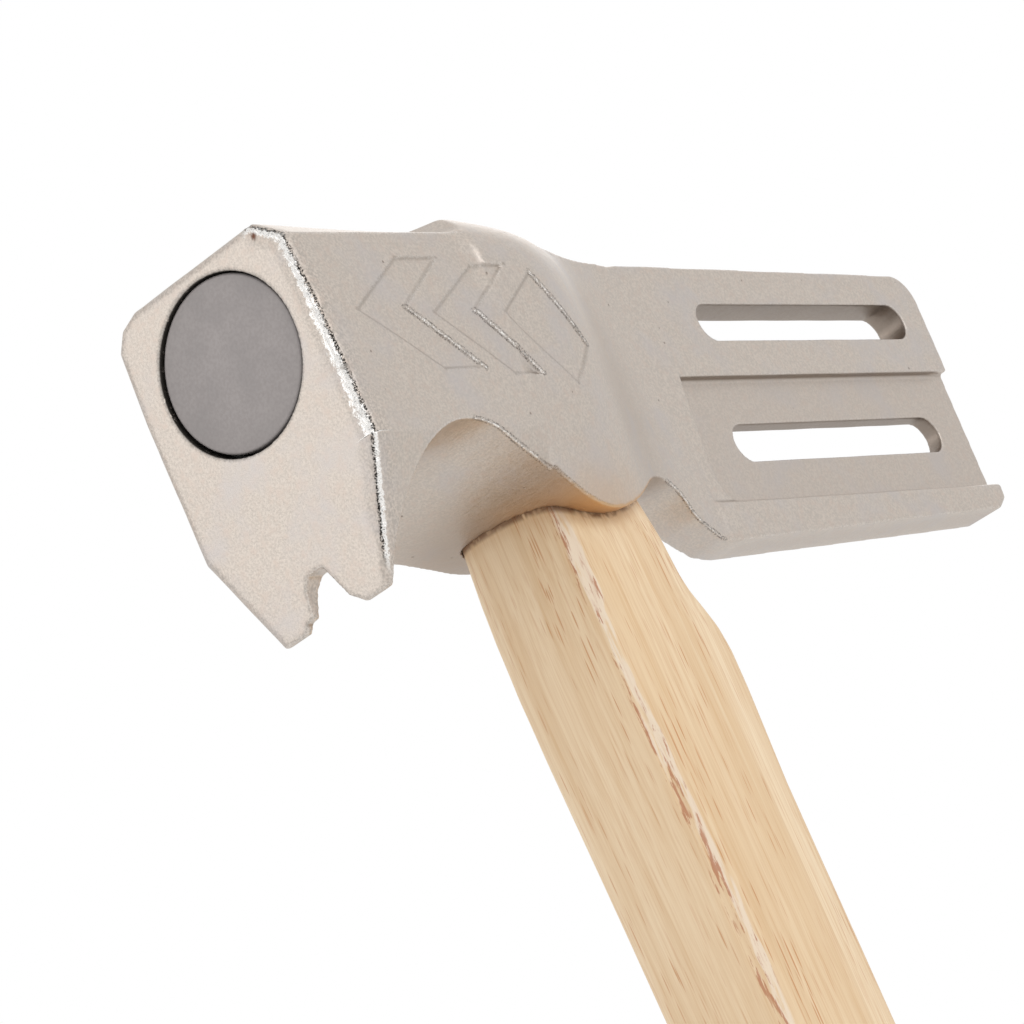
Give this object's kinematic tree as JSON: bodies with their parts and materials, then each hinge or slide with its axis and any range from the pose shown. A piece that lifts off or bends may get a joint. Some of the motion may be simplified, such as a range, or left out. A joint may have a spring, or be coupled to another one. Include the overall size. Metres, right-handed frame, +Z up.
{
  "type": "tack hammer",
  "caption": "Magnetic nail-starting hammer: cast head with a magnet in its face, clawed nail notch, long slotted blade and a wedged wooden handle.",
  "frame": {"origin": "middle of the handle's flat butt face, on the handle's centre line", "axes": "+Z up the handle to the head, -X out of the striking face, +X along the slotted blade, +Y across the head"},
  "size_m": [0.1465, 0.0312, 0.3302],
  "materials": {
    "nickel_steel": "cast steel with a satin nickel plate, finely pitted",
    "handle_wood": "pale hardwood, sanded and oiled",
    "wedge_wood": "darker hardwood, driven and trimmed",
    "wedge_steel": "plain steel, hammered",
    "magnet": "matt grey magnet disc",
    "adhesive": "dark cured adhesive"
  },
  "bodies": {
    "root": {"head": "nickel_steel", "handle": "handle_wood", "wood_wedge": "wedge_wood", "steel_wedges": "wedge_steel", "face_magnet": "magnet", "magnet_bond": "adhesive"}
  },
  "joints": []
}
